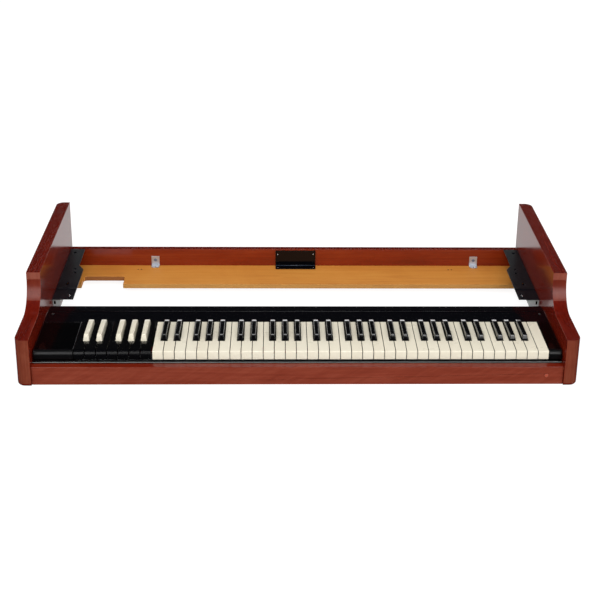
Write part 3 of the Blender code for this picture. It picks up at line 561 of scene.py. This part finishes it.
def panelMesh(sign, size):
    outerX = sign * (size["innerX"] + size["thick"])

    def uprightEnd(a, b):
        atRear = min(a.y, b.y) > size["rearY"] - near
        atFront = max(a.y, b.y) < size["frontY"] + near
        return (atRear or atFront) and max(abs(a.x - outerX), abs(b.x - outerX)) < near

    def innerFoot(a, b):
        inside = min(abs(a.x - outerX), abs(b.x - outerX)) > size["thick"] - near
        return max(a.z, b.z) < near and inside

    def outerFoot(a, b):
        return max(a.z, b.z) < near and not innerFoot(a, b)

    def aboveFoot(a, b):
        return max(a.z, b.z) > size["footRound"] + near

    bm = prism(panelOutline(size), *sorted((sign * size["innerX"], outerX)))
    rounds = ((size["endRound"], 12, uprightEnd), (size["footRound"], 5, outerFoot),
              (size["innerFoot"], 3, innerFoot), (size["arris"], 3, aboveFoot))
    for width, segments, chosen in rounds:
        edges = [edge for edge in bm.edges if edge.calc_face_angle(0) > arrisAngle
                 and chosen(*(vertex.co for vertex in edge.verts))]
        bmesh.ops.bevel(bm, geom=edges, offset=width, segments=segments, profile=0.5,
                        affect="EDGES", clamp_overlap=True)
    helper = helperFrom(bm)
    helper.modifiers.new("flats", "WEIGHTED_NORMAL").weight = size["flatWeight"]
    return settled(helper)


def panelPiece(side, sign, size):
    node = side + "_end_panel"
    piece = addPiece(node + "_wood", panelMesh(sign, size), "case", cherrySide, node)
    armTop, coveTop = size["armHeight"], size["armHeight"] + size["coveRadius"]
    edgeOn, level, leaning = 0.7, 0.01, 0.25

    def onCove(n, c):
        return n.y < -0.05 and abs(n.x) < edgeOn and size["coveDark"] < c.z < coveTop

    def onRiser(n, c):
        return n.y < -edgeOn and abs(n.z) < level and c.z > armTop

    # painted shade: faces that don't face sideways get the darker top veneer
    otherFinish(piece, cherryTopShaded, lambda n, c: abs(n.x) < edgeOn)
    # painted highlight: the upward, inward-facing arris gets the lighter edge veneer
    otherFinish(piece, cherryEdgeHighlight, lambda n, c: n.z > leaning and n.x * sign < -leaning)
    # painted highlight: the cove above coveDark gets the lighter cove veneer
    otherFinish(piece, cherryCoveHighlight, onCove)
    # painted light: the front and rear flat faces get the lighter front veneer
    otherFinish(piece, cherryFrontLit, lambda n, c: abs(n.x) < edgeOn and abs(n.z) < level)
    # painted highlight: the riser's flat front gets the lightest veneer
    otherFinish(piece, cherryRiserHighlight, onRiser)


for side, sign in (("left", -1), ("right", 1)):
    panelPiece(side, sign, endPanel)


# Rail, rear panel and shelf

railPiece = softCopy("front_rail", "case", cherryRail, 0.0006, 3)
# painted shade: the rail's upward faces get the darker slope veneer
otherFinish(railPiece, cherrySlopeShaded, lambda n, c: n.z > 0.3)

rearLow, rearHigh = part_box("rear_panel")
rearPiece = roundedBlocks("rear_panel_soft", [((rearLow + rearHigh) / 2, rearHigh - rearLow)],
                          cherryRear, 0.0012, "rear_panel")
# painted shade: the rear panel's top gets the darker top veneer
otherFinish(rearPiece, cherryTopShaded, lambda n, c: n.z > 0.5)

shelfPiece = softCopy("rear_shelf", "case", bareBoard, 0.0007)
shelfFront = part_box("rear_shelf")[0].y + 0.002
otherFinish(shelfPiece, boardEdge, lambda n, c: n.y < -0.8 and c.y < shelfFront)
# painted shade: the notch's back wall gets the darker board finish
otherFinish(shelfPiece, boardNotchShade, lambda n, c: n.y < -0.8 and c.y > shelfFront)
print("case woodwork made")


# Keys

presetNose = {"modelled": 0.0025, "drawn": 0.011, "arris": 0.0008}


def softerNose(bm):
    # draws the front edge's small round out to a larger one
    corner = (min(v.co.y for v in bm.verts), max(v.co.z for v in bm.verts))
    reach = presetNose["modelled"] + near
    ratio = presetNose["drawn"] / presetNose["modelled"]
    for vertex in bm.verts:
        back, down = vertex.co.y - corner[0], corner[1] - vertex.co.z
        if back < reach and down < reach:
            vertex.co.y, vertex.co.z = corner[0] + back * ratio, corner[1] - down * ratio


for name in nodes:
    if "sharp" in name:
        continue
    if name.startswith("preset_key_"):
        piece = softCopy(name, name, blackPlastic, presetNose["arris"],
                         reshape=softerNose)
        otherFinish(piece, blackLip, lambda n, c: n.y < -0.05 and abs(n.x) < 0.6)
    elif name == "lower_naturals" or (name.startswith("key_") and name[-1].isdigit()):
        piece = softCopy(name, name, creamPlastic, 0.0005)
        # painted shade: the side faces get the dark gap finish
        otherFinish(piece, creamGapShade, lambda n, c: abs(n.x) > 0.4)
print("naturals made")

sharpKey = {"frontY": -0.2337, "rearY": -0.1399, "base": 0.0137, "crest": 0.0098, "low": 0.0577,
            "foot": 0.0702, "top": 0.0827, "rake": 61, "arris": 0.0018, "leverTop": 0.0592,
            "leverLow": 0.0452, "leverEnd": -0.0529, "leverBend": 0.023,
            # the turns over the crest as (radius, heading after it in degrees), before and
            # after its long run
            "frontTurns": ((0.0012, 43.0), (0.021, 36.5), (0.0012, -2.8)),
            "tailTurns": ((0.012, -8.5), (None, 0.010), (0.005, -88))}


def turned(heading, turns, steps=4):
    # points of a path from (0, 0); a radius of None is a straight run of the length given
    y = z = 0.0
    points = []
    for radius, value in turns:
        if radius is None:
            y, z = y + value * math.cos(heading), z + value * math.sin(heading)
            points.append((y, z))
            continue
        target = math.radians(value)
        for i in range(1, steps + 1):
            angle = heading + (target - heading) * i / steps
            points.append((y + radius * (math.sin(heading) - math.sin(angle)),
                           z + radius * (math.cos(angle) - math.cos(heading))))
        (y, z), heading = points[-1], target
    return points


def sharpOutline(size):
    rake, crestSlope = math.radians(size["rake"]), math.radians(size["frontTurns"][-1][1])
    corner = turned(rake, size["frontTurns"])
    tail = turned(crestSlope, size["tailTurns"])
    cornerZ = size["top"] - corner[-1][1]
    cornerY = size["frontY"] + (cornerZ - size["foot"]) / math.tan(rake)
    crestY = cornerY + corner[-1][0]
    tailY = size["rearY"] - tail[-1][0]
    tailZ = size["top"] + (tailY - crestY) * math.tan(crestSlope)
    return [(size["frontY"], size["low"]), (size["frontY"], size["foot"]), (cornerY, cornerZ),
            *((cornerY + y, cornerZ + z) for y, z in corner), (tailY, tailZ),
            *((tailY + y, tailZ + z) for y, z in tail),
            (size["rearY"], size["leverTop"]), (size["leverEnd"], size["leverTop"]),
            (size["leverEnd"], size["leverLow"]),
            (size["rearY"] + size["leverBend"], size["leverLow"]),
            (size["rearY"] - size["leverBend"], size["low"])]


def sharpBlade(size):
    # one black key with its lever, centred on X = 0 and narrower at its crest
    bm = prism(sharpOutline(size), -size["base"] / 2, size["base"] / 2)
    for vertex in bm.verts:
        rise = (vertex.co.z - size["foot"]) / (size["top"] - size["foot"])
        if rise > 0:
            vertex.co.x *= 1 + min(rise, 1) * (size["crest"] / size["base"] - 1)
    helper = helperFrom(bm, "sharpBlade")
    roundEdges(helper, size["arris"], 3)
    return helper


def repeatGroup():
    group, tree, given = newGroup("repeatedShape", {"Shape": ("Object", None)})
    shape = tree.add("GeometryNodeObjectInfo", {"Object": given.output("Shape")}, out="Geometry")
    repeatOnPoints(tree, given, shape)
    return group


repeated = repeatGroup()
blade = sharpBlade(sharpKey)
# offsets: an octave's naturals with a sharp after them, and how far it stands off their boundary
octave = {**keyRow, "naturals": 21,
          "offsets": {1: -0.0022, 2: 0.0022, 4: -0.0036, 5: 0.0, 6: 0.0036}}


def sharpPiece(node, places, finish):
    points = pointsHelper([((x, 0, 0), up) for x in places])
    mesh = grown(points, repeated, {"Shape": blade, "Finish": finish})
    addPiece(node + "_blade", mesh, node, replaced=node)


def lowerSharpPlaces(size):
    for i in range(1, size["naturals"]):
        step = (i - 1) % 7 + 1
        if step in size["offsets"]:
            yield size["left"] + i * size["pitch"] + size["offsets"][step]


for name in nodes:
    if "_sharp" not in name or name == "lower_sharps":
        continue
    low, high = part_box(name)
    preset = name.startswith("preset")
    sharpPiece(name, [(low.x + high.x) / 2], creamPlastic if preset else blackPlastic)
sharpPiece("lower_sharps", lowerSharpPlaces(octave), blackPlastic)
bpy.data.objects.remove(blade, do_unlink=True)
print("sharps made")


# Metalwork and blocks

keyBlock = {"frontY": -0.2839, "coreY": -0.2679, "rearY": -0.0769, "keyRearY": -0.1399,
            "lipRearY": -0.1343, "low": 0.0239, "lip": 0.0510, "rest": 0.0633, "lipLow": 0.0602,
            "top": 0.0702, "nose": 0.011, "arris": 0.0015}


def blockPiece(node, size):
    centre = (size["frontY"] + size["nose"], size["top"] - size["nose"])
    nose = arcPoints(centre, size["nose"], 90, 180, 12)
    outline = [*nose, (size["frontY"], size["lip"]), (size["coreY"], size["lip"]),
               (size["coreY"], size["low"]), (size["rearY"], size["low"]),
               (size["rearY"], size["rest"]), (size["lipRearY"], size["rest"]),
               (size["lipRearY"], size["lipLow"]), (size["keyRearY"], size["lipLow"]),
               (size["keyRearY"], size["top"])]
    low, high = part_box(node)
    piece = roundedPiece(node + "_soft", prism(outline, low.x, high.x), size["arris"], 3, "case",
                         blackBlock, node)
    return otherFinish(piece, blackNose, lambda n, c: n.y < -0.05 and c.y < size["coreY"])


blockPiece("right_key_block", keyBlock)
leftBlock = blockPiece("left_key_block", keyBlock)
# painted highlight: the left block's upward, right-facing arris is grey
otherFinish(leftBlock, blackArrisHighlight,
            lambda n, c: 0.5 < n.z < 0.95 and n.x > 0.3 and c.y > keyBlock["coreY"])

cover = {"endGap": 0.0003, "endDepth": 0.001, "arris": 0.0009}
stripLine = (0.0419, 0.0439)


def widenCover(bm):
    # the cover's ends are drawn up to the panels, so that no light stands beside it
    reach = max(v.co.x for v in bm.verts)
    for vertex in bm.verts:
        if abs(vertex.co.x) > reach - cover["endDepth"]:
            vertex.co.x *= (endPanel["innerX"] - cover["endGap"]) / reach


def markStrip(bm):
    # parts the strip's front face along the two edges of its painted highlight line
    for height in stripLine:
        bmesh.ops.bisect_plane(bm, geom=[*bm.verts, *bm.edges, *bm.faces],
                               plane_co=(0, 0, height), plane_no=up)


softCopy("rear_fascia", "case", blackSteel, cover["arris"], reshape=widenCover)
for side in ("left", "right"):
    softCopy(side + "_bracket", "case", bracketSteel, 0.0005)
    softCopy(side + "_bracket_leg", "case", legSteel, 0.0004)
    softCopy(side + "_clip", "case", brightMetal, 0.0005)
softCopy("centre_angle_plate", "case", blackSteel, 0.0005)
stripPiece = softCopy("key_trim_strip", "case", blackSteel, 0.0003,
                      reshape=markStrip)
# painted highlight: the band between the two heights gets the bright finish
otherFinish(stripPiece, stripHighlight,
            lambda n, c: n.y < -0.9 and stripLine[0] < c.z < stripLine[1])
softCopy("rail_lens", "case", lensRed, 0.0002)
softCopy("keybed_board", "case", innerBoard, 0.0008)

# what lies inside keeps the solids' own meshes
for name, finish in (("key_chassis", platedSteel), ("downstop_felt", redFelt),
                     ("contact_board", greenLaminate)):
    nodes[name].data.materials.clear()
    nodes[name].data.materials.append(finish)

bracketHoleBlock = {"size": (0.012, 0.016, 0.003), "z": 0.0655, "arris": 0.0006,
              "holes": ((0.5507, 0.2604), (0.5364, 0.1569), (0.5343, 0.1349), (0.5422, 0.0698))}
legHoleBlock = {"size": (0.0068, 0.0015, 0.012), "place": (0.5588, -0.0066, 0.0564), "arris": 0.0004}
fasciaSeam = {"centre": (-0.0749, 0.0650), "radius": 0.0008, "steps": 10,
              "reach": endPanel["innerX"] - 0.0004}
plateFold = {"centre": (0.2790, 0.0270), "radius": 0.0009, "steps": 8, "reach": 0.0495}


def holeBlocksPiece(name, size, places):
    # a dark block behind a hole at each place and at its mirror image
    blocks = [((sign * x, y, z), size["size"]) for sign in (-1, 1) for x, y, z in places]
    roundedBlocks(name, blocks, blackBlock, size["arris"])


def beadPiece(name, size, finish):
    # a thin half-round line along X
    outline = arcPoints(size["centre"], size["radius"], 180, 0, size["steps"])
    helper = helperFrom(prism(outline, -size["reach"], size["reach"]))
    addPiece(name, settled(helper), "case", finish)


holeBlocksPiece("bracket_nuts", bracketHoleBlock, [(x, y, bracketHoleBlock["z"]) for x, y in bracketHoleBlock["holes"]])
holeBlocksPiece("leg_nuts", legHoleBlock, [legHoleBlock["place"]])
beadPiece("fascia_seam", fasciaSeam, blackNose)
# painted highlight: the bead along the plate's fold is lighter and bluish
beadPiece("plate_fold", plateFold, foldHighlight)

plateAcross = (-0.045, 0.045)
clipAcross = [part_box(side + "_clip")[0].x + 0.01 for side in ("left", "right")]
screwPiece("fascia_screws", darkScrew, 0.0032, 0.0026,
           [((-0.551, 0.551), -0.0889, 0.0648, up)])
screwPiece("bracket_screws", brightScrew, 0.0030, 0.0014,
           [((-0.527, 0.527), 0.0015, 0.0695, up)])
screwPiece("plate_screws", brightScrew, 0.0018, 0.001,
           [(plateAcross, 0.2831, 0.056, front), (plateAcross, 0.2655, 0.0273, up)])
screwPiece("clip_screws", blueScrew, 0.0042, 0.0014,
           [(clipAcross, 0.2832, 0.0403, front)])
screwPiece("clip_foot_screws", darkScrew, 0.0022, 0.0010,
           [(clipAcross, 0.2700, 0.0268, up)])
screwPiece("shelf_screws", darkScrew, 0.0021, 0.0011,
           [((-0.3954, -0.3874, 0.3874, 0.3954), 0.2589, 0.0246, up)])
print("metalwork made")


# Floor, light and camera

floorLook = {"size": 30, "drop": 0.0003, "glow": 0.9, "shade": 0.3, "bounce": 0.62,
             "mirror": (0.03, 0.85), "mirrorFade": (-0.35, 0.3)}
worldLook = {"light": 0.45, "dark": 0.012, "backdrop": 0.97, "backdropTop": (0.1, 0.2),
             "backdropEdge": (-0.25, 0.15), "horizon": 1.7, "horizonFoot": (-0.02, 0.0),
             "horizonTop": (0.16, 0.2), "horizonEdge": (0.5, 0.8)}
lamps = ({"name": "leftSoftbox", "place": (-1.25, -2.45, 1.75), "aim": (0, 0, 0.05),
          "size": (1.2, 2.4), "power": 30},
         {"name": "rightSoftbox", "place": (1.25, -2.45, 1.75), "aim": (0, 0, 0.05),
          "size": (1.2, 2.4), "power": 30},
         {"name": "topSoftbox", "place": (0, -0.7, 1.9), "aim": (0, -0.1, 0.05),
          "size": (0.9, 0.45), "power": 10},
         {"name": "frontCard", "place": (0.72, -2.35, 1.38), "aim": (0.3, -0.23, 0.08),
          "size": (0.6, 0.2), "power": 3})
# angles in radians
cameraView = {"place": (-0.052753, -2.721272, 1.310592), "pitch": 0.384012, "yaw": -0.038014,
              "roll": -0.01658, "lens": 77.061, "sensor": 36, "shift": (-0.0333, -0.1),
              "sightEnd": 100}


def floorFinish(look):
    # pale to the camera; gloss sees it dark in front of the object and bright behind
    finish = bpy.data.materials.new("paleFloor")
    finish.use_nodes = True
    finish.node_tree.nodes.clear()
    tree = Tree(finish.node_tree)
    path = tree.add("ShaderNodeLightPath")
    place = tree.add("ShaderNodeTexCoord", out="Object")
    depth = tree.add("ShaderNodeSeparateXYZ", {"Vector": place}, out="Y")
    nearby, distant = look["mirror"]
    mirrored = depth.step(*look["mirrorFade"]) * (distant - nearby) + nearby
    glossy = path.output("Is Glossy Ray")
    glow = path.output("Is Camera Ray") * look["glow"] + glossy * mirrored
    matt = (path.output("Is Diffuse Ray") * (look["bounce"] - look["shade"])
            + look["shade"] - glossy * look["shade"])
    seen = tree.add("ShaderNodeEmission", {"Color": (1, 1, 1), "Strength": glow})
    colour = tree.mix(matt, (0, 0, 0), (1, 1, 1))
    shadowed = tree.add("ShaderNodeBsdfDiffuse", {"Color": colour})
    surface = tree.add("ShaderNodeAddShader", {0: seen, 1: shadowed})
    tree.add("ShaderNodeOutputMaterial", {"Surface": surface})
    return finish


def makeFloor(look):
    bm = bmesh.new()
    bmesh.ops.create_grid(bm, x_segments=2, y_segments=2, size=look["size"])
    helper = helperFrom(bm, "floor")
    helper.location.z = -look["drop"]
    helper.data.materials.append(floorFinish(look))


def makeWorld(look):
    # camera rays see white; gloss sees white low behind the object, brightest along the
    # horizon, and dark elsewhere
    world = bpy.data.worlds.new("studio")
    bpy.context.scene.world = world
    world.use_nodes = True
    world.node_tree.nodes.clear()
    tree = Tree(world.node_tree)
    light = tree.add("ShaderNodeLightPath")
    way = tree.add("ShaderNodeTexCoord", out="Generated")
    parts = tree.add("ShaderNodeSeparateXYZ", {"Vector": way})
    height, depth = parts.output("Z"), parts.output("Y")
    backdrop = (1 - height.step(*look["backdropTop"])) * depth.step(*look["backdropEdge"])
    horizon = (height.step(*look["horizonFoot"]) * (1 - height.step(*look["horizonTop"]))
               * depth.step(*look["horizonEdge"]))
    gloss = backdrop * look["backdrop"] + horizon * look["horizon"] + look["dark"]
    level = light.output("Is Glossy Ray") * (gloss - look["light"]) + look["light"]
    shown = light.output("Is Camera Ray") * (1 - level) + level
    surface = tree.add("ShaderNodeBackground", {"Color": (1, 1, 1), "Strength": shown})
    tree.add("ShaderNodeOutputWorld", {"Surface": surface})


def makeLamp(name, place, aim, size, power):
    lamp = bpy.data.lights.new(name, "AREA")
    lamp.shape = "RECTANGLE"
    lamp.size, lamp.size_y = size
    lamp.energy = power
    holder = linked(name, lamp)
    holder.location = place
    holder.rotation_euler = (Vector(aim) - Vector(place)).to_track_quat("-Z", "Y").to_euler()
    holder.visible_camera = False


def makeCamera(view):
    camera = bpy.data.cameras.new("camera")
    camera.sensor_width = view["sensor"]
    camera.lens = view["lens"]
    camera.shift_x, camera.shift_y = view["shift"]
    camera.clip_end = view["sightEnd"]
    sinPitch, cosPitch = math.sin(view["pitch"]), math.cos(view["pitch"])
    sinRoll, cosRoll = math.sin(view["roll"]), math.cos(view["roll"])
    turn = Matrix.Rotation(view["yaw"], 3, "Z")
    forward = turn @ Vector((0, cosPitch, -sinPitch))
    right = turn @ Vector((1, 0, 0))
    down = turn @ Vector((0, -sinPitch, -cosPitch))
    right, down = cosRoll * right + sinRoll * down, cosRoll * down - sinRoll * right
    axes = Matrix((right, -down, -forward)).transposed().to_4x4()
    holder = linked("camera", camera)
    holder.matrix_world = Matrix.Translation(view["place"]) @ axes
    bpy.context.scene.camera = holder


makeFloor(floorLook)
makeWorld(worldLook)
for lamp in lamps:
    makeLamp(**lamp)
makeCamera(cameraView)
bpy.context.scene.view_settings.view_transform = "Standard"
print("stage set")
